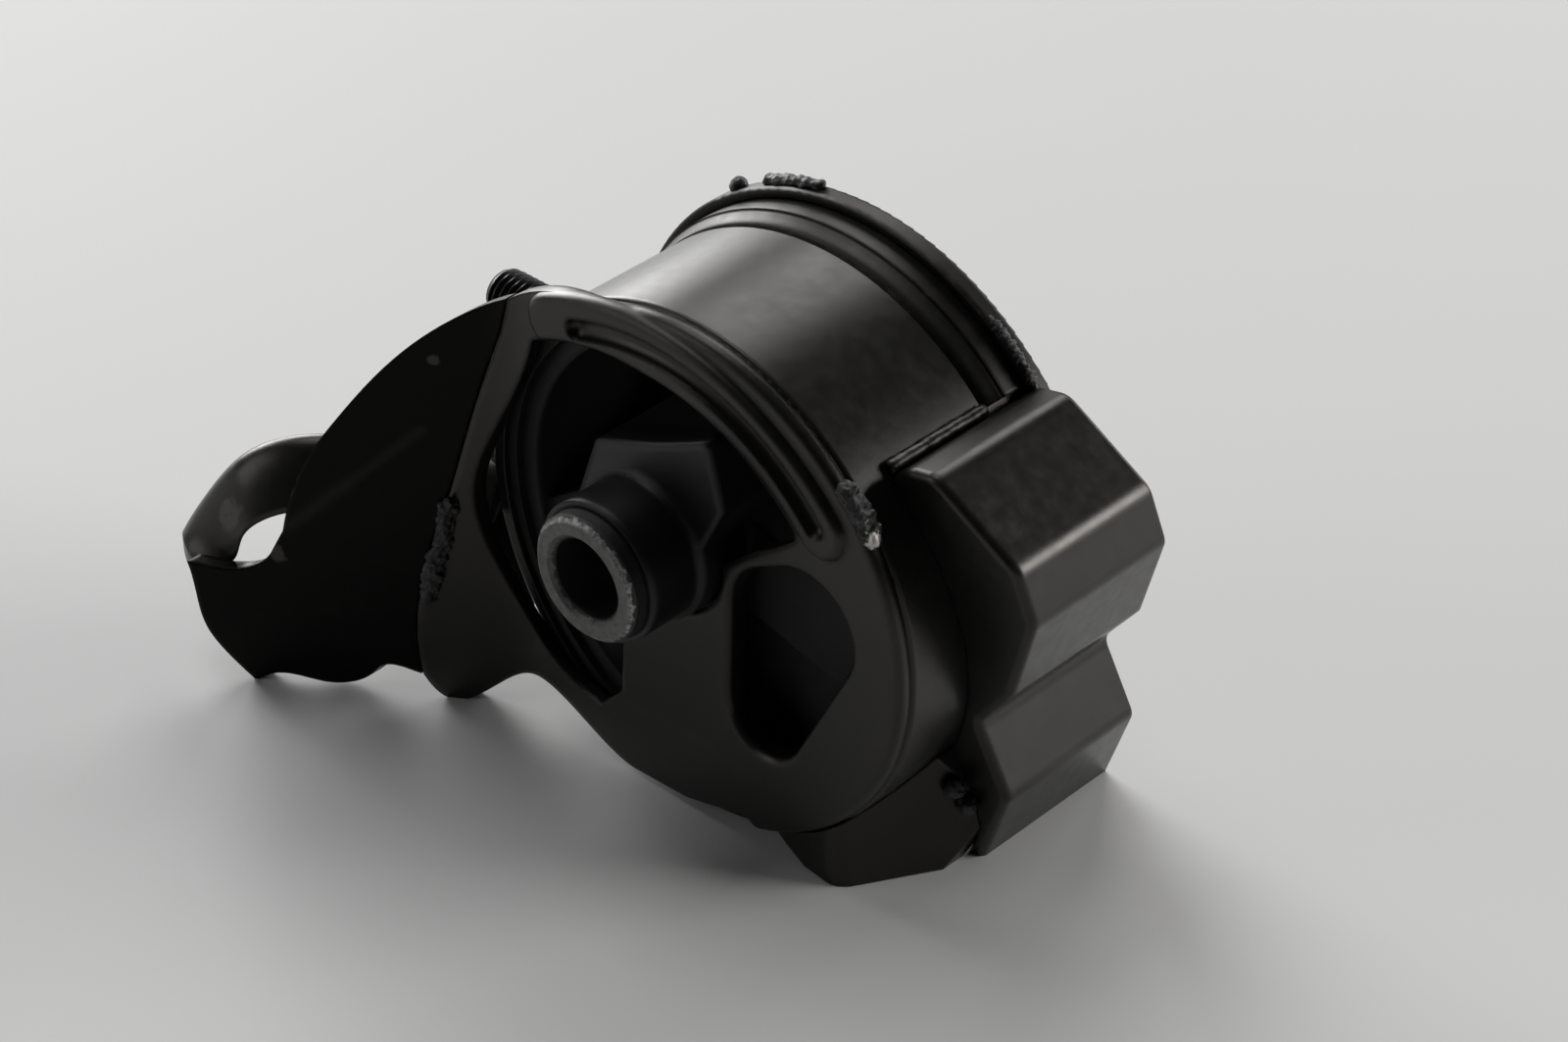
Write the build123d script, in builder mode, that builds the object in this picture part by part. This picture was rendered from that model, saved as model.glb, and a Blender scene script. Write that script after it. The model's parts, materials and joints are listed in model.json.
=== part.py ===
from build123d import *
from math import cos, radians, sin, tan
import os

os.makedirs("parts", exist_ok=True)

# Engine mount: a rubber bush in a steel barrel, held by pressed plates, an arm and a folded stop bracket.
# Millimetres. The bolt axis is Y, pointing away from the viewer, and Z is up. The origin is on the bolt
# axis, at the depth of the near plate's face. Outlines are given as X and Z, plan views as X and Y.

# Inner sleeve that the bolt passes through
sleeve_radius = 10.0
sleeve_bore_radius = 6.3
sleeve_overhang = 15.4
sleeve_chamfer = 0.9

# Barrel: its axis lies to the right of and below the bolt axis, because the bush carries no load
barrel_x = 4.6
barrel_z = -4.9
barrel_radius = 42.0
barrel_wall = 2.5
barrel_length = 34.2
barrel_edge_round = 0.8

# Pressed steel sheet and the gaps between pieces
sheet = 2.2
floor_gap = 0.1
seat_gap = 0.05
butt_gap = 0.3

# Near plate
rim_step = 0.4
arm_bend_x = -31.0
arm_sweep = 34.5
arm_bend_radius = 14.0
rim_round = 1.2
rim_foot_angle = -64.0
mouth_corner = 1.6
web_radius = 12.5
rib_width = 8.8
rib_height = 1.3
rib_round = 1.2
groove_radius = 1.7
oval_round = 1.3
oval_flange = 1.6

# Far plate
far_flange = 3.2
far_mouth_radius = 22.0
far_lip_width = 1.4
far_lip_height = 0.9
collar_length = 4.4
collar_wall = 1.4

# Bush
ring_wall = 1.6
ring_inset = 1.0
rubber_skin = 3.0
rubber_inset = 1.2
bond_gap = 0.02
tube_radius = 11.9
tube_front = -3.2
collar_radius = 11.1
collar_front = -12.4
block_front = -3.0
block_inset = 6.0
leg_width = 15.0
leg_inset = 4.0
leg_angles = (-14.0, 214.0)
fill_angles = (-84.0, -8.0)
fill_inset = 7.0
rubber_round = 0.8

# Stop bracket: one strip folded along lines that run with the bolt axis. Each fold is given by its angle
# about the barrel's axis and its height above the barrel, and the sixth one rests on the barrel.
bracket_folds = (
    (41.4, 4.7),
    (38.7, 9.65),
    (22.5, 16.25),
    (13.4, 15.45),
    (-3.8, 7.9),
    (-16.7, sheet),
    (-29.1, 11.3),
    (-63.9, 28.25),
)
strip_width = 28.0
strip_start = 8.0
strip_lean = 0.18
strip_lean_z = 24.0
fold_round = 3.4
strip_foot_angle = 41.5
strip_edge_round = 1.2
outer_edge_inset = 5.1
web_top_angle = 46.4
web_foot_height = 5.0

# Cheek: runs behind the near plate's rim, bends at the foot and runs back to the stop bracket
# Its outline is given as the bracket's folds are.
cheek_outline = (
    (-68.3, -0.35),
    (-65.9, 2.15),
    (-62.0, 5.8),
    (-46.4, 16.2),
    (-44.4, 15.3),
    (-39.3, 11.9),
    (-38.0, 9.15),
    (-33.45, 3.9),
    (-27.8, -1.75),
    (-21.1, -5.6),
    (-40.4, -21.8),
)
cheek_root_x = 18.0
cheek_root_gap = 0.3
cheek_bend_angle = -45.8
cheek_y = 1.0
cheek_bend_radius = 4.0
cheek_turn = 59.2

# Arm shell: a domed roof behind the arm plate, with a plain web behind it. Measured out from the bend.
shell_front = 2.6
shell_crest = 9.0
shell_back = 12.6
shell_back_drop = 3.2
shell_web_reach = 33.0
shell_web_top = -12.5
shell_web_foot = -36.0
shell_web_slope = 6.0

# Near edge and crest of the arm shell's roof, as distance along the arm and height
shell_near_edge = (
    (50.3, -28.0),
    (47.0, -27.4),
    (44.6, -25.6),
    (42.9, -21.2),
    (39.6, -17.8),
    (22.0, -15.0),
    (0.0, -13.0),
)
shell_crest_line = (
    (54.6, -27.0),
    (53.0, -24.3),
    (48.5, -17.4),
    (43.4, -11.5),
    (37.0, -8.1),
    (22.0, -7.0),
    (0.0, -7.0),
)

# Stud
stud_radius = 4.0
stud_tip_x = -52.2
stud_y = 19.0
stud_z = 10.0
stud_foot_radius = 6.4
stud_foot_height = 3.4
stud_root = 5.0
stud_chamfer = 1.0
stud_shoulder_radius = 4.7
stud_shoulder_x = -38.0

# Weld beads
bead_radius = 1.5
bead_gap = 0.02
weld_length = 3.6
weld_height = 1.2
spot_radius = 1.7
groove_start = 8.6
groove_gap = 0.2
groove_bead_radius = 1.0
groove_bead_turn = 1.4
groove_bead_height = 0.6
spot_places = ((-37.2, 7.7), (-34.5, 4.8))
spot_proud = 1.4
rim_bead_angles = (34, 43)
left_foot_angles = (222, 238)
right_foot_angles = (-62, -50)
lump_angles = (101, 114)
nub_angle = 123
shell_bead_place = ((180.7, 0.9),)
shell_bead_length = 6.4

# Places that follow from the sizes above
floor_z = barrel_z - barrel_radius - floor_gap
disc_radius = barrel_radius - rim_step
far_radius = barrel_radius + far_flange
cheek_x = barrel_x + disc_radius * cos(radians(cheek_bend_angle))
barrel_front = sheet
barrel_back = barrel_front + barrel_length
barrel_inner = barrel_radius - barrel_wall
far_back = barrel_back + sheet
sleeve_front = -sleeve_overhang
stud_length = barrel_x - barrel_inner + 6 - stud_tip_x
sleeve_back = far_back + sleeve_overhang
ring_outer = barrel_inner - seat_gap
ring_inner = ring_outer - ring_wall
rubber_outer = ring_inner - seat_gap
collar_edge = barrel_back - collar_length
groove_length = collar_edge - weld_length - groove_gap - groove_start
sweep_x = -cos(radians(arm_sweep))
sweep_y = -sin(radians(arm_sweep))
reach = 120.0
barrel_axis = Axis((barrel_x, 0, barrel_z), (0, 1, 0))


def front(y):
    """Sketch plane at depth y, seen by the viewer with X right and Z up."""
    return Plane.XZ.offset(-y)


def barrel_plane(y):
    """Sketch plane at depth y, centred on the barrel's axis."""
    return Plane(origin=(barrel_x, y, barrel_z), x_dir=(1, 0, 0), z_dir=(0, -1, 0))


def arm_plane(setback):
    """Sketch plane along the swept arm, with its X running out from the bend and Y up."""
    back = (-sin(radians(arm_sweep)) * setback, cos(radians(arm_sweep)) * setback)
    return Plane(
        origin=(arm_bend_x + back[0], back[1], 0),
        x_dir=(sweep_x, sweep_y, 0),
        z_dir=(-sin(radians(arm_sweep)), cos(radians(arm_sweep)), 0),
    )


def on_barrel(degrees, radius):
    """Point of the front view at an angle and radius about the barrel's axis."""
    return (barrel_x + radius * cos(radians(degrees)), barrel_z + radius * sin(radians(degrees)))


def sector(degrees, radius):
    """Point at an angle and radius about the middle of a sketch."""
    return (radius * cos(radians(degrees)), radius * sin(radians(degrees)))


def on_sleeve(degrees, radius):
    """Point of the front view at an angle and radius about the bolt axis."""
    return (radius * cos(radians(degrees)), radius * sin(radians(degrees)))


def finish(piece, label):
    """Names a piece and writes it."""
    piece.label = label
    export_step(piece, "parts/" + label + ".step")


def bent_plan():
    """Plan of the near sheet: flat across the barrel's mouth, then bent towards the viewer at the arm."""
    with BuildSketch(Plane.XY.offset(-reach)) as plan:
        with BuildLine():
            FilletPolyline(
                (reach, 0),
                (arm_bend_x, 0),
                (arm_bend_x + reach * sweep_x, reach * sweep_y),
                radius=arm_bend_radius,
            )
            offset(amount=sheet, side=Side.RIGHT)
        make_face()
    return plan.sketch


def near_outline():
    """Outline of the near plate, with its scalloped skirt, arm seam, shoulder and round rim."""
    foot = on_barrel(rim_foot_angle, disc_radius)
    near_skirt = [(-6.1, -46.1), (-16.5, -42.9), (-29.2, -39.9), (-33.8, -43.3), (-38.8, -47.2), (-43.6, -43.0)]
    with BuildSketch(front(-reach)) as outline:
        with BuildLine():
            Polyline(foot, (19.3, -43.8), (16.3, -42.3), (4.2, -45.6), (-6.1, -46.1))
            Spline(*near_skirt)
            Spline((-43.6, -43.0), (-43.2, -26.6), (-39.4, -11.0), (-33.7, 12.4), (-31.0, 21.0))
            Line((-31.0, 21.0), (-29.6, 27.0))
            ThreePointArc((-29.6, 27.0), (-22.0, 31.5), on_barrel(112, disc_radius))
            ThreePointArc(on_barrel(112, disc_radius), on_barrel(24, disc_radius), foot)
        make_face()
    return outline.sketch


def mouth_outline():
    """Mouth of the near plate: open round the sleeve, with the web cutting across its lower right."""
    with BuildSketch(front(-reach)) as outline:
        with BuildLine():
            ThreePointArc((-25.4, 21.8), (3.4, 26.2), (27.2, 12.4))
            Polyline((27.2, 12.4), (23.4, 9.4), (18.4, 6.0), on_sleeve(4, web_radius))
            ThreePointArc(on_sleeve(4, web_radius), on_sleeve(-50, web_radius), on_sleeve(-115, web_radius))
            Polyline(on_sleeve(-115, web_radius), (-8.2, -24.0), (-8.8, -32.6), (-13.6, -37.6))
            Spline((-13.6, -37.6), (-24.5, -33.4), (-34.8, -17.2), (-35.9, -7.6), (-32.9, 3.2), (-25.4, 21.8))
        make_face()
        fillet(outline.vertices(), radius=mouth_corner)
    return outline.sketch


def oval_hole(margin):
    """Egg-shaped hole of the near plate's web, drawn round three circles and out by a margin."""
    with BuildSketch(front(sheet / 2)) as outline:
        with BuildLine():
            CenterArc((28.0, -2.2), 9.0 + margin, 0, 360)
            CenterArc((24.0, -6.0), 10.5 + margin, 0, 360)
            CenterArc((20.0, -22.0), 7.0 + margin, 0, 360)
        make_hull()
    return outline.sketch


def arm_outline():
    """Outline of the arm plate beyond the seam, with its sloping top, end notch and scalloped foot."""
    with BuildSketch(front(-reach)) as outline:
        with BuildLine():
            Line((-29.2, 27.3), (-30.0, 21.0))
            Spline((-30.0, 21.0), (-32.4, 12.3), (-38.0, -11.1), (-42.0, -26.6), (-42.4, -43.2))
            Spline((-42.4, -43.2), (-45.6, -42.2), (-47.7, -41.7), (-49.8, -43.0))
            Spline((-49.8, -43.0), (-52.6, -45.6), (-56.0, -46.3), (-60.6, -45.4), (-65.6, -47.3))
            Spline((-65.6, -47.3), (-68.6, -43.2), (-71.4, -37.9), (-72.5, -30.6), (-73.2, -25.6))
            Polyline((-73.2, -25.6), (-68.9, -26.4), (-67.0, -26.2))
            ThreePointArc((-67.0, -26.2), (-64.1, -24.9), (-61.9, -21.8))
            Line((-61.9, -21.8), (-60.4, -18.2))
            Spline((-60.4, -18.2), (-58.7, -10.6), (-56.3, -4.1), (-52.2, 3.4), (-44.9, 14.3), (-29.2, 27.3))
        make_face()
    return outline.sketch


def above_barrel(places):
    """Points of the front view from angles about the barrel's axis and heights above the barrel."""
    return [on_barrel(degrees, barrel_radius + height) for degrees, height in places]


def strip_foot():
    """Point inside the barrel's wall at which the stop bracket's line starts."""
    return on_barrel(strip_foot_angle, barrel_radius - barrel_wall)


def bracket_line():
    """Outer line of the stop bracket: a short top and two lobes, with the fold between them on the barrel."""
    FilletPolyline(strip_foot(), *above_barrel(bracket_folds), radius=fold_round)


def strip_profile():
    """Section of the stop bracket's strip."""
    with BuildSketch(front(-reach)) as profile:
        with BuildLine():
            bracket_line()
            offset(amount=sheet, side=Side.RIGHT)
        make_face()
    return profile.sketch


def lobe_area(inset):
    """Area inside the stop bracket, drawn in from its outer line."""
    with BuildSketch(front(-reach)) as area:
        with BuildLine():
            bracket_line()
            foot = above_barrel(bracket_folds)[-1]
            Polyline(foot, (barrel_x - barrel_radius / 2, foot[1]), strip_foot())
        make_face()
        offset(amount=-inset, mode=Mode.REPLACE)
    return area.sketch


def leaning_slab(start, thickness):
    """Slab between two leaning planes, as the stop bracket's ends lean back towards the floor."""
    low = strip_start + strip_lean * (strip_lean_z + reach) + start
    high = strip_start + strip_lean * (strip_lean_z - reach) + start
    with BuildSketch(Plane.YZ.offset(-reach)) as slab:
        with BuildLine():
            Polyline(
                (low, -reach),
                (high, reach),
                (high + thickness, reach),
                (low + thickness, -reach),
                close=True,
            )
        make_face()
    return slab.sketch


# Clearance shapes, used to trim what lies against the barrel and the floor
with BuildPart() as barrel_space:
    with BuildSketch(barrel_plane(-reach)):
        Circle(barrel_radius + seat_gap)
    extrude(amount=-2 * reach)

with BuildPart() as below_floor:
    with BuildSketch(Plane.XY.offset(floor_z)):
        Rectangle(3 * reach, 3 * reach)
    extrude(amount=-reach)

# Inner sleeve
with BuildPart() as inner_sleeve:
    with BuildSketch(front(sleeve_front)):
        Circle(sleeve_radius)
        Circle(sleeve_bore_radius, mode=Mode.SUBTRACT)
    extrude(amount=-(sleeve_back - sleeve_front))
    chamfer(inner_sleeve.edges().filter_by(GeomType.CIRCLE), length=sleeve_chamfer)
finish(inner_sleeve.part, "inner_sleeve")

# Barrel
with BuildPart() as barrel:
    with BuildSketch(barrel_plane(barrel_front)):
        Circle(barrel_radius)
        Circle(barrel_inner, mode=Mode.SUBTRACT)
    extrude(amount=-barrel_length)
    near_rims = barrel.edges().filter_by(GeomType.CIRCLE).group_by(Axis.Y)[0]
    fillet(near_rims.sort_by(SortBy.RADIUS)[-1], radius=barrel_edge_round)
finish(barrel.part, "barrel")

# Near plate: a rib with a groove along it stiffens the top, and the oval hole's edge is turned in
with BuildPart() as near_plate:
    extrude(bent_plan(), amount=2 * reach)
    extrude(near_outline(), amount=-2 * reach, mode=Mode.INTERSECT)
    arcs = near_plate.edges().filter_by(GeomType.CIRCLE)
    rims = arcs.filter_by(lambda edge: abs(edge.radius - disc_radius) < 0.01)
    fillet(rims.sort_by(Axis.Y)[0], radius=rim_round)
    with BuildSketch(front(-rib_height)):
        with BuildLine():
            crown = ThreePointArc((-20.6, 27.2), (3.8, 30.9), (31.6, 16.2))
        SlotArc(crown, rib_width)
    extrude(amount=-(rib_height + sheet / 2))
    extrude(oval_hole(sheet), amount=-(sheet / 2 + oval_flange))
    extrude(oval_hole(0), amount=reach, both=True, mode=Mode.SUBTRACT)
    fillet(near_plate.edges(Select.LAST).group_by(Axis.Y)[0], radius=oval_round)
    extrude(mouth_outline(), amount=-2 * reach, mode=Mode.SUBTRACT)
    fillet(near_plate.faces().filter_by(Plane.XZ).sort_by(Axis.Y)[0].edges(), radius=rib_round)
    with BuildLine(front(-rib_height)) as groove:
        groove_arc = ThreePointArc((-15.0, 28.6), (4.4, 30.9), (31.0, 16.8))
    with BuildSketch(Plane(origin=groove_arc @ 0, z_dir=groove_arc % 0)):
        Circle(groove_radius)
    sweep(path=groove_arc, mode=Mode.SUBTRACT)
    with Locations(groove_arc @ 0, groove_arc @ 1):
        Sphere(groove_radius, mode=Mode.SUBTRACT)
    add(below_floor.part, mode=Mode.SUBTRACT)
finish(near_plate.part, "near_plate")

# Arm plate beyond the seam, from the same bent sheet
seam_outline = Pos(-butt_gap, 0, 0) * near_outline()
with BuildPart() as arm_plate:
    extrude(bent_plan(), amount=2 * reach)
    extrude(arm_outline(), amount=-2 * reach, mode=Mode.INTERSECT)
    extrude(seam_outline, amount=-2 * reach, mode=Mode.SUBTRACT)
    add(below_floor.part, mode=Mode.SUBTRACT)
finish(arm_plate.part, "arm_plate")

def shell_section(depth, rise, drop, thickness):
    """Section of the arm shell's roof at a depth, part of the way from its near edge up to its crest."""
    top = []
    for low, high in zip(shell_near_edge, shell_crest_line):
        top.append((low[0] + (high[0] - low[0]) * rise, low[1] + (high[1] - low[1]) * rise - drop))
    under = [(along, height - thickness) for along, height in top]
    with BuildSketch(arm_plane(depth)) as section:
        with BuildLine():
            Spline(*top)
            Line(top[-1], under[-1])
            Spline(*under)
            Line(top[0], under[0])
        make_face()
    return section.sketch


with BuildPart() as arm_shell:
    sections = [
        shell_section(shell_front, 0.0, 0.0, sheet * 0.4),
        shell_section(shell_front + 2.2, 0.5, 0.0, sheet * 1.4),
        shell_section(shell_crest, 1.0, 0.0, sheet),
        shell_section(shell_back, 1.0, shell_back_drop, sheet * 1.4),
    ]
    loft(sections)
    with BuildSketch(arm_plane(shell_back - sheet)):
        with BuildLine():
            Polyline(
                (0, shell_web_top),
                (shell_web_reach, shell_web_top),
                (shell_web_reach - shell_web_slope, shell_web_foot),
                (0, shell_web_foot),
                close=True,
            )
        make_face()
    extrude(amount=sheet)
    add(barrel_space.part, mode=Mode.SUBTRACT)
finish(arm_shell.part, "arm_shell")

# Room for the stop bracket beside the barrel: its fold passes the rim, and its top passes the collar
with BuildPart() as bracket_space:
    with BuildSketch(barrel_plane(-reach)):
        with BuildLine():
            Polyline((0, 0), sector(-30, reach), sector(-5, reach), close=True)
        make_face()
        Circle(barrel_radius + seat_gap, mode=Mode.SUBTRACT)
    extrude(amount=-2 * reach)
    with BuildSketch(barrel_plane(barrel_back)):
        with BuildLine():
            Polyline((0, 0), sector(34, reach), sector(strip_foot_angle + 1.5, reach), close=True)
        make_face()
        Circle(barrel_radius + seat_gap, mode=Mode.SUBTRACT)
    extrude(amount=reach)

# Far plate: a collar round the barrel, a rim lip, a notch for the stop bracket and a flat foot for the floor
with BuildPart() as far_plate:
    with BuildSketch(barrel_plane(barrel_back)):
        Circle(far_radius)
        Circle(far_mouth_radius, mode=Mode.SUBTRACT)
    extrude(amount=-sheet)
    with BuildSketch(barrel_plane(barrel_back)):
        Circle(far_radius)
        Circle(far_radius - far_lip_width, mode=Mode.SUBTRACT)
    extrude(amount=far_lip_height)
    far_edges = far_plate.edges().filter_by(GeomType.CIRCLE).group_by(SortBy.RADIUS)[-1]
    fillet(far_edges, radius=far_lip_height / 2)
    with BuildSketch(barrel_plane(barrel_back)):
        Circle(barrel_radius + seat_gap + collar_wall)
        Circle(barrel_radius + seat_gap, mode=Mode.SUBTRACT)
    extrude(amount=collar_length)
    add([bracket_space.part, below_floor.part], mode=Mode.SUBTRACT)
finish(far_plate.part, "far_plate")

# Smooth weld round the barrel in front of the far plate's collar
with BuildPart() as weld_far_ring:
    with BuildSketch(Plane(origin=(barrel_x, 0, barrel_z), x_dir=(1, 0, 0), z_dir=(0, 0, 1))):
        with BuildLine():
            inner = barrel_radius + seat_gap
            Line((inner, collar_edge - weld_length), (inner, collar_edge))
            Line((inner, collar_edge), (inner + weld_height, collar_edge))
            ThreePointArc(
                (inner + weld_height, collar_edge),
                (inner + weld_height * 0.34, collar_edge - weld_length * 0.42),
                (inner, collar_edge - weld_length),
            )
        make_face()
    revolve(axis=barrel_axis)
    add([bracket_space.part, below_floor.part], mode=Mode.SUBTRACT)
finish(weld_far_ring.part, "weld_far_ring")

# Cheek: passes behind the near plate's rim, bends at its foot and closes the stop bracket's lower lobe
with BuildPart() as cheek:
    with BuildSketch(Plane.XY.offset(floor_z)):
        with BuildLine():
            FilletPolyline(
                (cheek_root_x, sheet + cheek_root_gap),
                (cheek_x, cheek_y),
                (cheek_x + reach * cos(radians(cheek_turn)), cheek_y + reach * sin(radians(cheek_turn))),
                radius=cheek_bend_radius,
            )
            offset(amount=sheet, side=Side.LEFT)
        make_face()
    extrude(amount=reach)
    with BuildSketch(front(-reach)):
        with BuildLine():
            Polyline(*above_barrel(cheek_outline), close=True)
        make_face()
    extrude(amount=-2 * reach, mode=Mode.INTERSECT)
    extrude(lobe_area(sheet + seat_gap), amount=-2 * reach, mode=Mode.INTERSECT)
    add(barrel_space.part, mode=Mode.SUBTRACT)
finish(cheek.part, "cheek")

# Web across the stop bracket's near end, from the strip to the barrel
web_top = barrel_z + barrel_radius * sin(radians(web_top_angle))
web_foot = floor_z + web_foot_height
with BuildPart() as near_web:
    extrude(leaning_slab(0, sheet), amount=2 * reach)
    extrude(lobe_area(sheet / 2), amount=-2 * reach, mode=Mode.INTERSECT)
    with BuildSketch(front(-reach)):
        with Locations((0, (web_top + web_foot) / 2)):
            Rectangle(4 * reach, web_top - web_foot)
    extrude(amount=-2 * reach, mode=Mode.INTERSECT)

# Stop bracket: strip and near web pressed from one sheet, with a rounded edge and a slot for the cheek
outer_edge_x = barrel_x + barrel_radius - outer_edge_inset
with BuildPart() as stop_bracket:
    extrude(strip_profile(), amount=-2 * reach)
    extrude(leaning_slab(0, strip_width), amount=2 * reach, mode=Mode.INTERSECT)
    add(near_web.part)
    near_face = stop_bracket.faces().filter_by(GeomType.PLANE).sort_by(Axis.Y)[0]
    fillet(near_face.edges().filter_by(lambda edge: edge.center().X > outer_edge_x), radius=strip_edge_round)
    add([barrel_space.part, below_floor.part, cheek.part], mode=Mode.SUBTRACT)
finish(stop_bracket.part, "stop_bracket")

# Outer ring of the bush, pressed into the barrel
with BuildPart() as bush_ring:
    with BuildSketch(barrel_plane(barrel_front + ring_inset)):
        Circle(ring_outer)
        Circle(ring_inner, mode=Mode.SUBTRACT)
    extrude(amount=-(barrel_length - 2 * ring_inset))
finish(bush_ring.part, "bush_ring")

# Rubber of the bush: a skin inside the ring, a tube on the sleeve, two legs, a filled side and a stop block
with BuildPart() as bush_rubber:
    with BuildSketch(barrel_plane(barrel_front + ring_inset + rubber_inset)):
        Circle(rubber_outer)
        Circle(rubber_outer - rubber_skin, mode=Mode.SUBTRACT)
    extrude(amount=-(barrel_length - 2 * ring_inset - 2 * rubber_inset))
    for leg_angle in leg_angles:
        with BuildSketch(front(barrel_front + leg_inset)):
            with Locations(Location((0, 0), leg_angle)):
                with Locations((barrel_radius / 2, 0)):
                    Rectangle(barrel_radius, leg_width)
        extrude(amount=-(barrel_length - 2 * leg_inset))
    with BuildSketch(front(barrel_front + fill_inset)):
        with BuildLine():
            Polyline((0, 0), on_sleeve(fill_angles[0], reach), on_sleeve(fill_angles[1], reach), close=True)
        make_face()
    extrude(amount=-(barrel_length - 2 * fill_inset))
    with BuildSketch(barrel_plane(-reach)):
        Circle(rubber_outer)
    extrude(amount=-2 * reach, mode=Mode.INTERSECT)
    with BuildSketch(front(block_front)):
        with BuildLine():
            ThreePointArc((-9.4, 13.7), (1.9, 18.0), (12.6, 23.3))
            Polyline((12.6, 23.3), (15.4, 12.6), (10.4, 3.0), (-13.5, 2.1), (-9.4, 13.7))
        make_face()
        fillet(vertices(), radius=rubber_round)
    extrude(amount=-(barrel_back - block_inset - block_front))
    with BuildSketch(front(tube_front)):
        Circle(tube_radius)
    extrude(amount=-(barrel_back - 2 * tube_front - tube_front))
    with BuildSketch(front(collar_front)):
        Circle(collar_radius)
    extrude(amount=-(far_back - collar_front - collar_front))
    with BuildSketch(front(-reach)):
        Circle(sleeve_radius + bond_gap)
    extrude(amount=-2 * reach, mode=Mode.SUBTRACT)
finish(bush_rubber.part, "bush_rubber")


def stud_plane(x, heading):
    """Sketch plane across the stud at a distance along X, heading right for 1 and left for -1."""
    return Plane(origin=(x, stud_y, stud_z), x_dir=(0, -1, 0), z_dir=(heading, 0, 0))


# Stud welded to the barrel's left side, with the weld at its foot
with BuildPart() as stud:
    with BuildSketch(stud_plane(stud_tip_x, 1)):
        Circle(stud_radius)
    extrude(amount=stud_length)
    chamfer(stud.edges().filter_by(GeomType.CIRCLE).sort_by(Axis.X)[0], length=stud_chamfer)
    with BuildSketch(stud_plane(stud_shoulder_x, 1)):
        Circle(stud_shoulder_radius)
    extrude(amount=stud_tip_x + stud_length - stud_shoulder_x)
    add(barrel_space.part, mode=Mode.SUBTRACT)
finish(stud.part, "stud")

with BuildPart() as weld_stud:
    with BuildSketch(stud_plane(stud_tip_x + stud_length, -1)):
        Circle(stud_foot_radius)
    extrude(amount=stud_foot_height + stud_root, taper=12)
    with BuildSketch(stud_plane(-reach, 1)):
        Circle(stud_shoulder_radius + bead_gap)
    extrude(amount=2 * reach, mode=Mode.SUBTRACT)
    add(barrel_space.part, mode=Mode.SUBTRACT)
finish(weld_stud.part, "weld_stud")

# Weld along the seam between the near plate and the arm plate
with BuildPart() as weld_arm_seam:
    with BuildLine(arm_plane(0)) as seam:
        seam_line = Spline((9.4, -10.4), (11.4, -18.4), (13.8, -28.0))
    with BuildSketch(Plane(origin=seam_line @ 0, z_dir=seam_line % 0)):
        Circle(bead_radius)
    sweep(path=seam_line)
    with Locations(seam_line @ 0, seam_line @ 1):
        Sphere(bead_radius)
    split(bisect_by=arm_plane(-bead_gap), keep=Keep.BOTTOM)
    add(near_plate.part, mode=Mode.SUBTRACT)
finish(weld_arm_seam.part, "weld_arm_seam")


def on_cheek(place):
    """Point on the cheek's near face at a place of the front view."""
    return (place[0], cheek_y + (place[0] - cheek_x) * tan(radians(cheek_turn)) - spot_proud, place[1])


def ring_bead(middle, depth, radius, start, end):
    """Weld bead laid round the barrel's axis, between two angles of the front view."""
    path = Edge.make_circle(middle, barrel_plane(depth), start, end)
    section = Plane(origin=path @ 0, z_dir=path % 0) * Circle(radius)
    bead = sweep(section, path=path)
    return bead + Pos(*(path @ 0)) * Sphere(radius) + Pos(*(path @ 1)) * Sphere(radius)


rim_bead = ring_bead(disc_radius + 0.7, sheet * 0.35, spot_radius, *rim_bead_angles)
foot_beads = [
    ring_bead(barrel_radius + 0.8, barrel_front + 0.8, bead_radius, *left_foot_angles),
    ring_bead(barrel_radius + 0.8, barrel_front + sheet + 1.2, bead_radius, *right_foot_angles),
]
rim_lump = ring_bead(far_radius + 0.2, barrel_back + sheet / 2, bead_radius * 0.7, *lump_angles)

# Weld on the near plate's rim beside the stop bracket
with BuildPart() as weld_rim:
    add(rim_bead)
    add([near_plate.part, barrel.part, barrel_space.part], mode=Mode.SUBTRACT)
finish(weld_rim.part, "weld_rim")

# Welds behind the near plate's two feet, against the barrel
with BuildPart() as weld_feet:
    add(foot_beads)
    add([near_plate.part, barrel.part, barrel_space.part, cheek.part], mode=Mode.SUBTRACT)
finish(weld_feet.part, "weld_feet")

# Weld in the groove between the barrel and the top of the stop bracket
with BuildPart() as weld_groove:
    with BuildSketch(front(groove_start)):
        with Locations(*above_barrel(((strip_foot_angle + groove_bead_turn, groove_bead_height),))):
            Circle(groove_bead_radius)
    extrude(amount=-groove_length)
    add([barrel_space.part, stop_bracket.part], mode=Mode.SUBTRACT)
finish(weld_groove.part, "weld_groove")

# Weld spots between the cheek's upper edge and the stop bracket
with BuildPart() as weld_cheek:
    with Locations(*[on_cheek(place) for place in above_barrel(spot_places)]):
        Sphere(spot_radius)
    add([cheek.part, stop_bracket.part, barrel_space.part], mode=Mode.SUBTRACT)
finish(weld_cheek.part, "weld_cheek")

# Weld where the arm shell's roof meets the barrel
with BuildPart() as weld_shell:
    with BuildSketch(front(3.2)):
        with Locations(*above_barrel(shell_bead_place)):
            Circle(bead_radius)
    extrude(amount=-shell_bead_length)
    add([barrel_space.part, arm_shell.part, near_plate.part], mode=Mode.SUBTRACT)
finish(weld_shell.part, "weld_shell")

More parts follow.
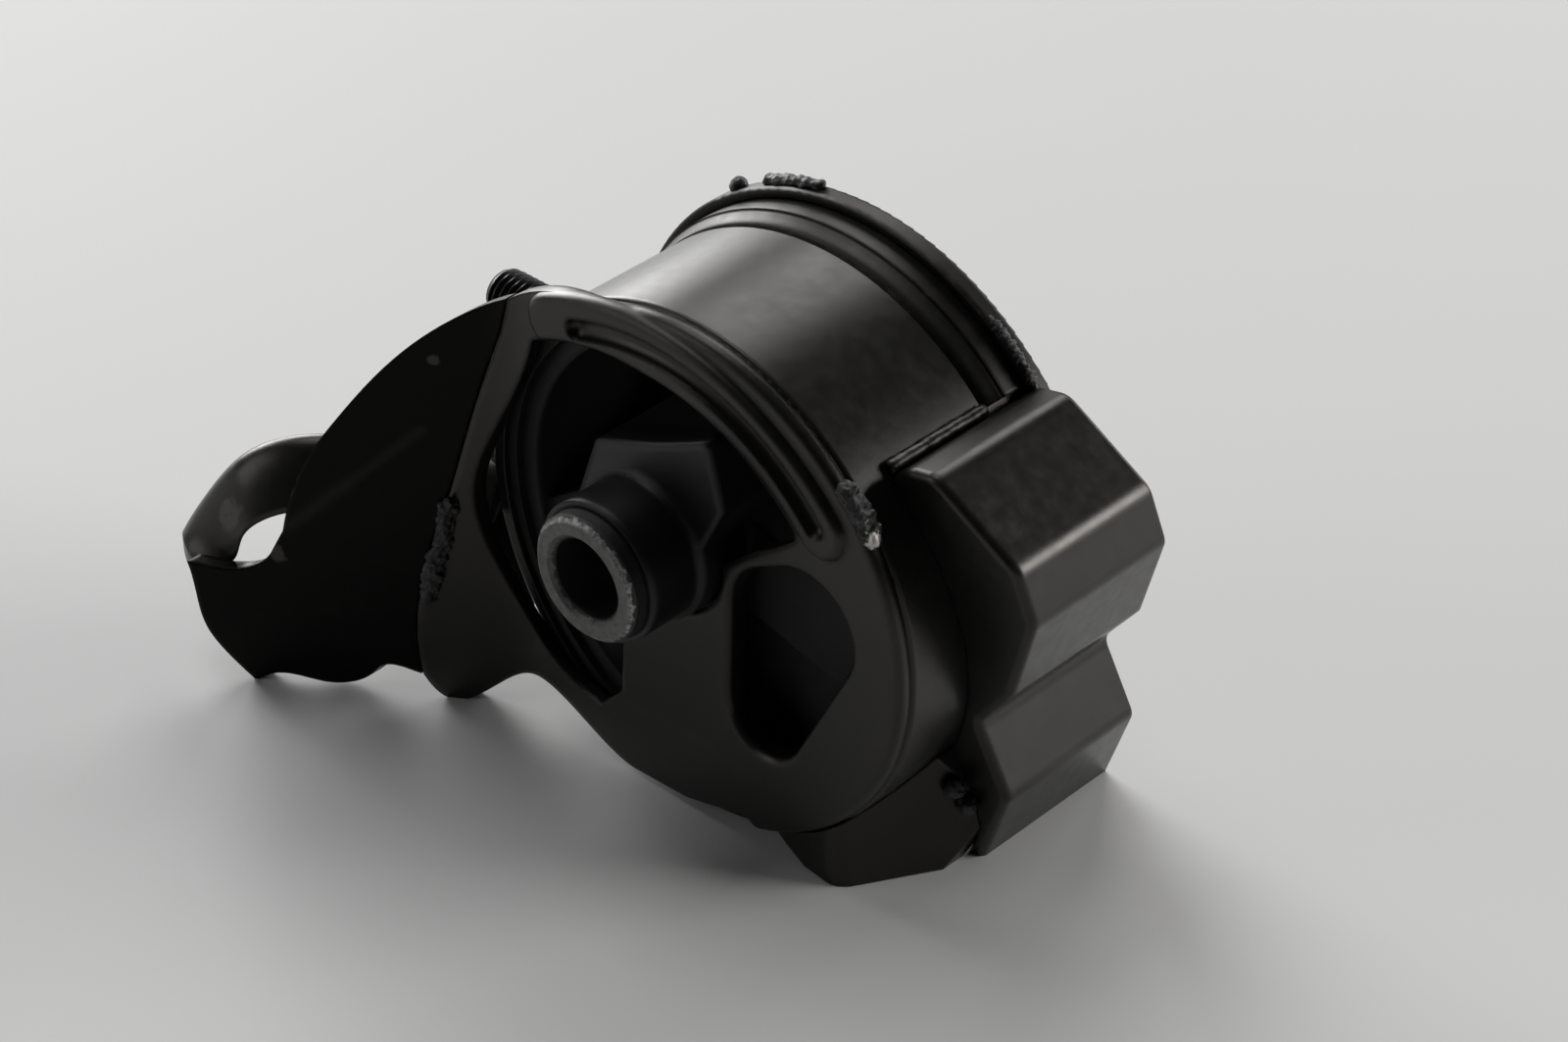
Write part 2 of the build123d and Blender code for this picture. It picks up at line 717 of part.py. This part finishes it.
# Lumps of weld left on the far plate's rim
with BuildPart() as weld_lumps:
    add(rim_lump)
    with BuildSketch(barrel_plane(barrel_back + sheet / 2)):
        with Locations(sector(nub_angle, far_radius + 0.3)):
            Circle(bead_radius)
    extrude(amount=bead_radius, both=True, taper=30)
    add(far_plate.part, mode=Mode.SUBTRACT)
finish(weld_lumps.part, "weld_lumps")
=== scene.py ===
"""Looks for the engine mount: paint, rubber, rough welds, a threaded stud, a pale floor and soft light."""

import json
import math

import bmesh
import bpy
from mathutils import Matrix, Vector, noise


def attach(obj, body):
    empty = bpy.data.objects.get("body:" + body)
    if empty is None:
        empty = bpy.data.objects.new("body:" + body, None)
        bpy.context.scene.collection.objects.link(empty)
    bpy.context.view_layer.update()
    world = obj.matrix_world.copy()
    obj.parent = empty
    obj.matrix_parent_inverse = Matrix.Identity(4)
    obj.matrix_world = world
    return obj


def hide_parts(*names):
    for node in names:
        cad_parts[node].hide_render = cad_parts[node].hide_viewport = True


MM = 0.001
FLOOR_Z = -47.0 * MM
FLOOR_REACH = 4
PHOTO_WIDTH = 1600
SENSOR_WIDTH = 36.0
LAMP_DISTANCE = 2.4
LAMP_HEIGHT = 1.08
WHITE = (1.0, 1.0, 1.0)
WARM_WHITE = (1.0, 0.99, 0.975)
WORLD_STRENGTH = 0.02
BEVEL_SAMPLES = 6

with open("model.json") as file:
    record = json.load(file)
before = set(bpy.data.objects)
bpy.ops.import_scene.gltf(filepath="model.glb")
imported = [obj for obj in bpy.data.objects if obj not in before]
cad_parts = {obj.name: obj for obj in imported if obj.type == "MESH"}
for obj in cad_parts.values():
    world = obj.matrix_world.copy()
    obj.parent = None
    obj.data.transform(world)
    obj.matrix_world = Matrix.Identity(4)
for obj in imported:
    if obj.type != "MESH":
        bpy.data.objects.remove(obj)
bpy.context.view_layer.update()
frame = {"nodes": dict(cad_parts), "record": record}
nodes = frame["nodes"]


# Materials. Texture scales are in cycles per metre, because every node's coordinates are in metres.


class Shader:
    """A Principled material with small helpers for adding nodes."""

    def __init__(self, name):
        self.material = bpy.data.materials.new(name)
        self.material.use_nodes = True
        self.tree = self.material.node_tree
        self.nodes = self.tree.nodes
        self.principled = self.nodes["Principled BSDF"]
        self.coords = self.nodes.new("ShaderNodeTexCoord")

    def link(self, source, target):
        self.tree.links.new(source, target)

    def feed(self, value, socket):
        """Sets a socket to a plain value, or links another node's output to it."""
        if isinstance(value, (int, float, tuple)):
            socket.default_value = value
        else:
            self.link(value, socket)

    def noise(self, scale, detail=4.0, roughness=0.55, distortion=0.0):
        """Noise over the object's own coordinates, as a value from 0 to 1."""
        node = self.nodes.new("ShaderNodeTexNoise")
        node.inputs["Scale"].default_value = scale
        node.inputs["Detail"].default_value = detail
        node.inputs["Roughness"].default_value = roughness
        node.inputs["Distortion"].default_value = distortion
        self.link(self.coords.outputs["Object"], node.inputs["Vector"])
        return node.outputs["Fac"]

    def cells(self, scale):
        """Distance to the nearest of scattered points, for pits and spatter."""
        node = self.nodes.new("ShaderNodeTexVoronoi")
        node.inputs["Scale"].default_value = scale
        self.link(self.coords.outputs["Object"], node.inputs["Vector"])
        return node.outputs["Distance"]

    def ramp(self, value, low, high, start=0.0, end=1.0, smooth=False):
        """Maps low..high of a value to start..end, held at both ends."""
        node = self.nodes.new("ShaderNodeMapRange")
        if smooth:
            node.interpolation_type = "SMOOTHSTEP"
        node.inputs["From Min"].default_value = low
        node.inputs["From Max"].default_value = high
        node.inputs["To Min"].default_value = start
        node.inputs["To Max"].default_value = end
        self.link(value, node.inputs["Value"])
        return node.outputs["Result"]

    def math(self, operation, first, second):
        node = self.nodes.new("ShaderNodeMath")
        node.operation = operation
        for socket, value in zip(node.inputs, (first, second)):
            self.feed(value, socket)
        return node.outputs["Value"]

    def mix(self, factor, dark, light):
        """Mixes two colours, each given as a tuple or a socket."""
        node = self.nodes.new("ShaderNodeMix")
        node.data_type = "RGBA"
        self.link(factor, node.inputs["Factor"])
        for name, value in (("A", dark), ("B", light)):
            socket = [s for s in node.inputs if s.name == name and s.type == "RGBA"][0]
            if isinstance(value, tuple):
                socket.default_value = (*value, 1.0)
            else:
                self.link(value, socket)
        return [s for s in node.outputs if s.type == "RGBA"][0]

    def near(self, point, radius, fade):
        """1 inside a ball about a point given in millimetres, falling to 0 outside it."""
        centre = tuple(value * MM for value in point)
        apart = self.vector("DISTANCE", self.coords.outputs["Object"], centre)
        return self.ramp(apart, radius * MM, (radius + fade) * MM, 1.0, 0.0)

    def line(self, start, end, width):
        """1 on a straight line given in millimetres, falling smoothly to 0 at its width."""
        first = Vector(start) * MM
        span = Vector(end) * MM - first
        offset = self.vector("SUBTRACT", self.coords.outputs["Object"], tuple(first))
        share = self.math("DIVIDE", self.vector("DOT_PRODUCT", offset, tuple(span)), span.length_squared)
        held = self.ramp(share, 0.0, 1.0)
        point = self.vector("SCALE", tuple(span), held)
        apart = self.vector("LENGTH", self.vector("SUBTRACT", offset, point), None)
        return self.ramp(apart, 0.0, width * MM, 1.0, 0.0, smooth=True)

    def vector(self, operation, first, second):
        """One step of vector arithmetic; a plain number result comes out as a value."""
        node = self.nodes.new("ShaderNodeVectorMath")
        node.operation = operation
        sockets = (node.inputs[0], node.inputs["Scale"] if operation == "SCALE" else node.inputs[1])
        for socket, value in zip(sockets, (first, second)):
            if value is not None:
                self.feed(value, socket)
        return node.outputs["Value" if operation in ("DOT_PRODUCT", "LENGTH", "DISTANCE") else "Vector"]

    def along(self, axis):
        """One coordinate of the surface, in metres."""
        node = self.nodes.new("ShaderNodeSeparateXYZ")
        self.link(self.coords.outputs["Object"], node.inputs["Vector"])
        return node.outputs[axis]

    def edges(self, width):
        """1 on sharp edges, falling to 0 within a width in millimetres."""
        geometry = self.nodes.new("ShaderNodeNewGeometry")
        agreement = self.vector("DOT_PRODUCT", self.bevel(width), geometry.outputs["Normal"])
        return self.ramp(agreement, 0.75, 0.99, 1.0, 0.0)

    def bevel(self, width):
        """Normals as if the edges were rounded over a width in millimetres."""
        node = self.nodes.new("ShaderNodeBevel")
        node.samples = BEVEL_SAMPLES
        node.inputs["Radius"].default_value = width * MM
        return node.outputs["Normal"]

    def bump(self, heights, edge_round=0.0):
        """Stacks bumps, each a (height, distance in millimetres) pair, over softly rounded edges."""
        normal = self.bevel(edge_round) if edge_round else None
        for height, distance in heights:
            node = self.nodes.new("ShaderNodeBump")
            node.inputs["Strength"].default_value = 1.0
            node.inputs["Distance"].default_value = distance * MM
            self.link(height, node.inputs["Height"])
            if normal:
                self.link(normal, node.inputs["Normal"])
            normal = node.outputs["Normal"]
        self.link(normal, self.principled.inputs["Normal"])

    def set(self, **values):
        """Sets sockets of the Principled shader, named with underscores for spaces."""
        for name, value in values.items():
            self.feed(value, self.principled.inputs[name.replace("_", " ")])


def black_paint(name, edge_round=0.8, worn=(), highlight_lines=(), gloss=1.45, rough=0.28, depth=1.0):
    """Satin black paint on pressed steel, a little rubbed on its edges, with dust and fine orange peel.

    Worn places are (point, radius) patches, and highlight lines are (start, end, width, share) paler
    lines: painted highlights where a crease or soft ridge catches the light.
    The base colour is multiplied by depth, so a lower depth gives a deeper black; a depth below 1 is
    painted shade, a darker copy of the same paint.
    """
    shader = Shader(name)
    broad = shader.noise(38.0, 3.0)
    fine = shader.noise(420.0, 5.0)
    peel = shader.noise(1700.0, 2.0)
    dents = shader.noise(95.0, 2.0)
    deep = (0.0044 * depth, 0.0043 * depth, 0.0042 * depth)
    pale = (0.0076 * depth, 0.0073 * depth, 0.0069 * depth)
    tone = shader.mix(shader.ramp(broad, 0.2, 0.8), deep, pale)
    # Painted highlights: paler lines mixed into the colour where a crease or soft ridge catches the light
    for start, end, width, share in highlight_lines:
        uneven = shader.ramp(fine, 0.2, 0.8, 0.6 * share, share)
        painted_highlight = shader.math("MULTIPLY", shader.line(start, end, width), uneven)
        tone = shader.mix(painted_highlight, tone, (0.030, 0.029, 0.028))
    dust = shader.ramp(shader.math("MULTIPLY", fine, broad), 0.28, 0.46, 0.0, 0.20)
    dusty = shader.mix(shader.math("MULTIPLY", dust, depth), tone, (0.026, 0.025, 0.023))
    wear = shader.math("MULTIPLY", shader.edges(0.35), shader.ramp(fine, 0.50, 0.66, 0.0, 0.5))
    for point, radius in worn:
        uneven = shader.ramp(fine, 0.3, 0.7, -0.7, 0.3)
        patch = shader.math("ADD", shader.near(point, radius * 0.3, radius), uneven)
        wear = shader.math("MAXIMUM", wear, shader.ramp(patch, 0.35, 0.75, 0.0, 0.35))
    shader.set(
        Base_Color=shader.mix(wear, dusty, (0.16, 0.155, 0.15)),
        Roughness=shader.ramp(fine, 0.3, 0.7, rough, rough + 0.08),
        Metallic=shader.math("MULTIPLY", wear, 0.5),
        IOR=gloss,
        Specular_Tint=(1.0, 0.95, 0.90, 1.0),
    )
    shader.bump([(dents, 0.022), (peel, 0.006)], edge_round=edge_round)
    return shader.material


def rubber(name, edge_round):
    """Matt moulded rubber with faint flow marks and a bloom."""
    shader = Shader(name)
    broad = shader.noise(60.0, 3.0)
    grain = shader.noise(1300.0, 4.0)
    sheen = shader.ramp(broad, 0.3, 0.7, 0.34, 0.46)
    inside = shader.ramp(shader.along("Y"), -1.0 * MM, 6.0 * MM, 0.0, 0.34)
    blotches = shader.ramp(broad, 0.3, 0.7)
    shader.set(
        Base_Color=shader.mix(blotches, (0.0030, 0.0030, 0.0030), (0.0055, 0.0055, 0.0055)),
        Roughness=shader.math("ADD", sheen, inside),
        IOR=1.46,
    )
    shader.bump([(broad, 0.10), (grain, 0.01)], edge_round=edge_round)
    return shader.material


def sleeve_steel():
    """Bare, scuffed steel on the sleeve's two ends, and thin black paint everywhere else."""
    shader = Shader("sleeve_steel")
    grain = shader.noise(900.0, 5.0, 0.65)
    broad = shader.noise(180.0, 3.0)
    depth = shader.along("Y")
    near_end = shader.ramp(depth, -15.35 * MM, -14.4 * MM, 1.0, 0.0)
    far_end = shader.ramp(depth, 53.0 * MM, 53.95 * MM, 0.0, 1.0)
    ends = shader.math("ADD", near_end, far_end)
    ragged = shader.math("ADD", ends, shader.ramp(grain, 0.3, 0.7, -0.35, 0.35))
    bare = shader.ramp(ragged, 0.35, 0.6)
    steel = shader.mix(shader.ramp(grain, 0.35, 0.65), (0.095, 0.094, 0.092), (0.15, 0.148, 0.145))
    flat = shader.vector("MULTIPLY", shader.coords.outputs["Object"], (1.0, 0.0, 1.0))
    rim = shader.ramp(shader.vector("LENGTH", flat, None), 8.9 * MM, 9.4 * MM)
    flecks = shader.ramp(shader.noise(1500.0, 4.0, 0.7), 0.42, 0.60)
    scuffs = shader.math("MULTIPLY", rim, flecks)
    steel = shader.mix(scuffs, steel, (0.42, 0.415, 0.41))
    shader.set(
        Base_Color=shader.mix(bare, (0.010, 0.010, 0.010), steel),
        Metallic=shader.math("MULTIPLY", bare, 0.55),
        Roughness=shader.ramp(broad, 0.3, 0.7, 0.42, 0.60),
    )
    shader.bump([(grain, 0.07), (broad, 0.06)], edge_round=0.3)
    return shader.material


def stud_steel():
    """Black phosphate on the thread, with grey rubbed crests."""
    shader = Shader("stud_steel")
    grain = shader.noise(1100.0, 4.0)
    wear = shader.math("MULTIPLY", shader.edges(0.25), shader.ramp(grain, 0.35, 0.6))
    shader.set(
        Base_Color=shader.mix(wear, (0.004, 0.004, 0.004), (0.10, 0.097, 0.094)),
        Metallic=shader.math("MULTIPLY", wear, 0.7),
        Roughness=shader.ramp(grain, 0.3, 0.7, 0.30, 0.45),
        IOR=1.4,
    )
    shader.bump([(grain, 0.03)])
    return shader.material


def weld_metal(name, chip=None):
    """Painted weld with pits and spatter, and bare bright metal where it is chipped."""
    shader = Shader(name)
    rough = shader.noise(520.0, 6.0, 0.7, 0.6)
    pits = shader.cells(900.0)
    tone = shader.mix(shader.ramp(rough, 0.35, 0.7), (0.004, 0.004, 0.004), (0.018, 0.0175, 0.017))
    metallic = 0.0
    if chip:
        uneven = shader.ramp(rough, 0.3, 0.7, -0.6, 0.25)
        flake = shader.math("ADD", shader.near(chip, 0.9, 1.3), uneven)
        spatter = shader.ramp(shader.noise(1300.0, 3.0), 0.60, 0.66)
        specks = shader.math("MULTIPLY", shader.near(chip, 2.4, 2.6), spatter)
        bare = shader.math("MAXIMUM", shader.ramp(flake, 0.35, 0.6), specks)
        tone = shader.mix(bare, tone, (0.62, 0.60, 0.57))
        metallic = shader.math("MULTIPLY", bare, 0.8)
    shader.set(Base_Color=tone, Roughness=shader.ramp(rough, 0.3, 0.7, 0.30, 0.52), Metallic=metallic)
    shader.bump([(rough, 0.35), (pits, 0.12)])
    return shader.material


materials = {
    "black_steel": black_paint("black_paint"),
    "bare_steel": sleeve_steel(),
    "rubber": rubber("rubber", 1.8),
    "stud_steel": stud_steel(),
    "weld": weld_metal("weld_metal"),
}
special = {
    "bush_ring": rubber("rubber_film", 0.2),
    "barrel": black_paint("barrel_paint", edge_round=0.3),
    "weld_far_ring": black_paint("flare_paint", rough=0.40),
    "far_plate": black_paint("far_paint", gloss=1.36, rough=0.36),
    # Near plate: two painted highlight lines where soft ridges on the lower web catch the light
    "near_plate": black_paint(
        "near_paint",
        edge_round=1.3,
        highlight_lines=[
            ((11.9, 0.0, -5.1), (12.6, 0.0, -27.6), 1.6, 0.22),
            ((-9.5, 0.0, -34.3), (9.5, 0.0, -33.3), 1.6, 0.22),
        ],
    ),
    # Arm plate: the same paint with its base colour darkened (depth 0.35) as painted shade, and two
    # painted highlight lines along its crease
    "arm_plate": black_paint(
        "arm_paint_painted_shade",
        highlight_lines=[
            ((-59.4, -19.5, -17.1), (-41.9, -7.5, 2.3), 1.5, 0.45),
            ((-59.9, -19.8, -17.6), (-52.0, -14.3, -8.9), 2.6, 0.20),
        ],
        worn=[((-61.8, -21.2, -22.6), 2.0), ((-39.9, -6.0, 15.0), 1.2)],
        gloss=1.17,
        depth=0.35,
    ),
    "arm_shell": black_paint("shell_paint", worn=[((-70.9, -21.8, -19.6), 3.6)]),
}
slots = {part["node"]: part["material_slot"] for part in frame["record"]["subparts"]}
for name, node in nodes.items():
    for slot in node.material_slots:
        slot.material = special.get(name, materials[slots[name]])


# Uneven welds, each in place of the smooth bead of the solids


def rough_weld(source, cell, lumps, material):
    """Copy of a weld node with even faces and lumps, given as (size, height) pairs in millimetres."""
    piece = bpy.data.objects.new(source + "_rough", nodes[source].data.copy())
    bpy.context.scene.collection.objects.link(piece)
    even = piece.modifiers.new("even", "REMESH")
    even.mode = "VOXEL"
    even.voxel_size = cell * MM
    data = bpy.data.meshes.new_from_object(piece.evaluated_get(bpy.context.evaluated_depsgraph_get()))
    piece.modifiers.clear()
    piece.data = data
    normals = [vertex.normal.copy() for vertex in data.vertices]
    for vertex, normal in zip(data.vertices, normals):
        swell = sum(height * noise.noise(vertex.co / (size * MM)) for size, height in lumps)
        vertex.co += normal * swell * MM
    data.shade_smooth()
    data.materials.clear()
    data.materials.append(material)
    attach(piece, "root")
    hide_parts(source)


chipped = weld_metal("chipped_weld", chip=(41.0, 0.2, 18.9))
for source, cell, lumps, material in (
    ("weld_arm_seam", 0.22, ((1.6, 0.75), (0.7, 0.40)), materials["weld"]),
    ("weld_rim", 0.22, ((1.8, 0.60), (0.7, 0.35)), chipped),
    ("weld_feet", 0.30, ((1.8, 0.60), (0.8, 0.30)), materials["weld"]),
    ("weld_groove", 0.22, ((2.6, 0.20), (0.9, 0.10)), materials["black_steel"]),
    ("weld_cheek", 0.22, ((1.6, 0.40), (0.7, 0.20)), materials["weld"]),
    ("weld_lumps", 0.22, ((1.4, 0.40), (0.7, 0.20)), materials["weld"]),
    ("weld_stud", 0.30, ((2.0, 0.50), (0.8, 0.25)), materials["weld"]),
    ("weld_shell", 0.25, ((1.6, 0.50), (0.7, 0.25)), materials["weld"]),
):
    rough_weld(source, cell, lumps, material)


# Pieces built ring by ring


def closed_tube(name, rings):
    """Smooth closed piece through rings of points, with a face on each end."""
    mesh = bmesh.new()
    grid = [[mesh.verts.new(point) for point in ring] for ring in rings]
    for lower, upper in zip(grid, grid[1:]):
        for step in range(len(lower)):
            after = (step + 1) % len(lower)
            mesh.faces.new((lower[step], lower[after], upper[after], upper[step]))
    mesh.faces.new(grid[0])
    mesh.faces.new(grid[-1])
    bmesh.ops.recalc_face_normals(mesh, faces=mesh.faces)
    data = bpy.data.meshes.new(name)
    mesh.to_mesh(data)
    mesh.free()
    data.shade_smooth()
    piece = bpy.data.objects.new(name, data)
    bpy.context.scene.collection.objects.link(piece)
    return piece


def ragged_bead(name, centre, radius, thickness, start, end, seed):
    """Thin uneven bead laid on an arc about the barrel's axis, between two angles in degrees."""
    steps_along = 60
    steps_round = 10
    rings = []
    for index in range(steps_along + 1):
        share = index / steps_along
        angle = math.radians(start + (end - start) * share)
        taper = min(1.0, 6.0 * share, 6.0 * (1.0 - share)) + 0.05
        ring = []
        for step in range(steps_round):
            turn = 2 * math.pi * step / steps_round
            lump = 1.0 + 0.9 * noise.noise(Vector((index * 0.45, step * 0.5, seed)))
            reach = thickness * taper * lump
            out = radius + reach * math.cos(turn)
            across = out * math.cos(angle)
            upward = out * math.sin(angle)
            ring.append((centre[0] + across, centre[1] + reach * math.sin(turn), centre[2] + upward))
        rings.append(ring)
    piece = closed_tube(name, rings)
    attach(piece, "root")
    return piece


# Weld edge on the far plate's rim, beside the stop bracket
rim_centre = (4.6 * MM, 36.4 * MM, -4.9 * MM)
rim_edge = ragged_bead("rim_weld_edge", rim_centre, 44.9 * MM, 0.75 * MM, 58.0, 40.0, 3.0)
rim_edge.data.materials.append(weld_metal("scuffed_weld"))


def threaded_rod(name, tip, length, radius, depth, pitch, shoulder):
    """Rod along X with a rolled thread, a tapered tip and a plain (length, radius) shoulder."""
    steps_round = 40
    steps_pitch = 8
    shoulder_length, shoulder_radius = shoulder
    rings = []

    def add_ring(along, reach_at):
        ring = []
        for step in range(steps_round):
            angle = 2 * math.pi * step / steps_round
            reach = reach_at(step / steps_round)
            across = reach * math.cos(angle)
            upward = reach * math.sin(angle)
            ring.append((tip[0] + along, tip[1] + across, tip[2] + upward))
        rings.append(ring)

    for index in range(int(length / pitch * steps_pitch) + 1):
        along = index * pitch / steps_pitch

        def thread_reach(turn):
            groove = 0.5 - 0.5 * math.cos(2 * math.pi * (along / pitch + turn))
            return radius - depth * max(groove ** 0.8, 1.0 - along / pitch)

        add_ring(along, thread_reach)
    chamfer = 0.4 * MM
    add_ring(length, lambda turn: radius - depth)
    add_ring(length + 0.02 * MM, lambda turn: shoulder_radius - chamfer)
    add_ring(length + chamfer, lambda turn: shoulder_radius)
    add_ring(length + shoulder_length, lambda turn: shoulder_radius)
    piece = closed_tube(name, rings)
    piece.data.set_sharp_from_angle(angle=math.radians(50))
    return piece


thread = threaded_rod(
    "stud_thread",
    tip=(-52.2 * MM, 19.0 * MM, 10.0 * MM),
    length=14.2 * MM,
    radius=4.0 * MM,
    depth=0.62 * MM,
    pitch=1.25 * MM,
    shoulder=(4.2 * MM, 4.7 * MM),
)
thread.data.materials.append(materials["stud_steel"])
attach(thread, "root")
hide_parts("stud")


# Floor, light and camera

floor_mesh = bpy.data.meshes.new("floor")
corners = [(x * FLOOR_REACH, y * FLOOR_REACH, FLOOR_Z) for x, y in ((-1, -1), (1, -1), (1, 1), (-1, 1))]
floor_mesh.from_pydata(corners, [], [(0, 1, 2, 3)])
floor = bpy.data.objects.new("floor", floor_mesh)
bpy.context.scene.collection.objects.link(floor)
floor_shader = Shader("pale_floor")
floor_tone = floor_shader.ramp(floor_shader.noise(6.0, 3.0), 0.3, 0.7)
floor_shader.set(
    Base_Color=floor_shader.mix(floor_tone, (0.655, 0.655, 0.655), (0.665, 0.665, 0.665)),
    Roughness=0.6,
    Specular_IOR_Level=0.2,
)
floor_mesh.materials.append(floor_shader.material)

world = bpy.data.worlds.new("studio")
world.use_nodes = True
background = world.node_tree.nodes["Background"]
background.inputs["Color"].default_value = (1.0, 1.0, 1.0, 1.0)
background.inputs["Strength"].default_value = WORLD_STRENGTH
bpy.context.scene.world = world


def softbox(name, place, width, power, color):
    """Rectangular area light that faces the origin."""
    light = bpy.data.lights.new(name, "AREA")
    light.shape = "RECTANGLE"
    light.size = width
    light.size_y = LAMP_HEIGHT
    light.energy = power
    light.color = color
    lamp = bpy.data.objects.new(name, light)
    lamp.location = place
    lamp.rotation_euler = (-place).to_track_quat("-Z", "Y").to_euler()
    bpy.context.scene.collection.objects.link(lamp)


# Softboxes, as (name, azimuth from +Y towards +X, elevation, width, power, colour)
for name, azimuth, elevation, width, power, color in (
    ("left", 288.0, 14.0, 1.60, 56.0, WHITE),
    ("front_left", 222.0, 20.0, 1.08, 7.0, WHITE),
    ("right_back", 48.0, 14.0, 1.08, 43.0, WARM_WHITE),
    ("back", 0.0, 14.0, 1.08, 16.0, WHITE),
    ("over_back", 326.0, 38.0, 0.95, 13.0, WARM_WHITE),
    ("over_left", 275.0, 66.0, 1.20, 14.0, WHITE),
):
    turn, rise = math.radians(azimuth), math.radians(elevation)
    flat = math.cos(rise)
    heading = Vector((math.sin(turn) * flat, math.cos(turn) * flat, math.sin(rise)))
    softbox(name, heading * LAMP_DISTANCE, width, power, color)


def place_camera(azimuth, elevation, roll, place, focal_pixels):
    """Camera of the photograph: azimuth 0 looks along +Y, and elevation is above the horizon."""
    turn, rise, lean = (math.radians(value) for value in (azimuth, elevation, roll))
    back = Vector((math.sin(turn) * math.cos(rise), -math.cos(turn) * math.cos(rise), math.sin(rise)))
    right = (-back).cross(Vector((0, 0, 1))).normalized()
    up = right.cross(-back)
    tilted_right = right * math.cos(lean) + up * math.sin(lean)
    tilted_up = up * math.cos(lean) - right * math.sin(lean)
    data = bpy.data.cameras.new("camera")
    data.sensor_width = SENSOR_WIDTH
    data.lens = focal_pixels / PHOTO_WIDTH * SENSOR_WIDTH
    data.clip_start = 0.01
    camera = bpy.data.objects.new("camera", data)
    matrix = Matrix((tilted_right, tilted_up, back)).transposed().to_4x4()
    matrix.translation = Vector(place) * MM
    camera.matrix_world = matrix
    bpy.context.scene.collection.objects.link(camera)
    bpy.context.scene.camera = camera


place_camera(43.5916, 35.312, -0.1748, (341.8745, -333.464, 340.4638), 4200.0)

bpy.context.scene.view_settings.view_transform = "Standard"
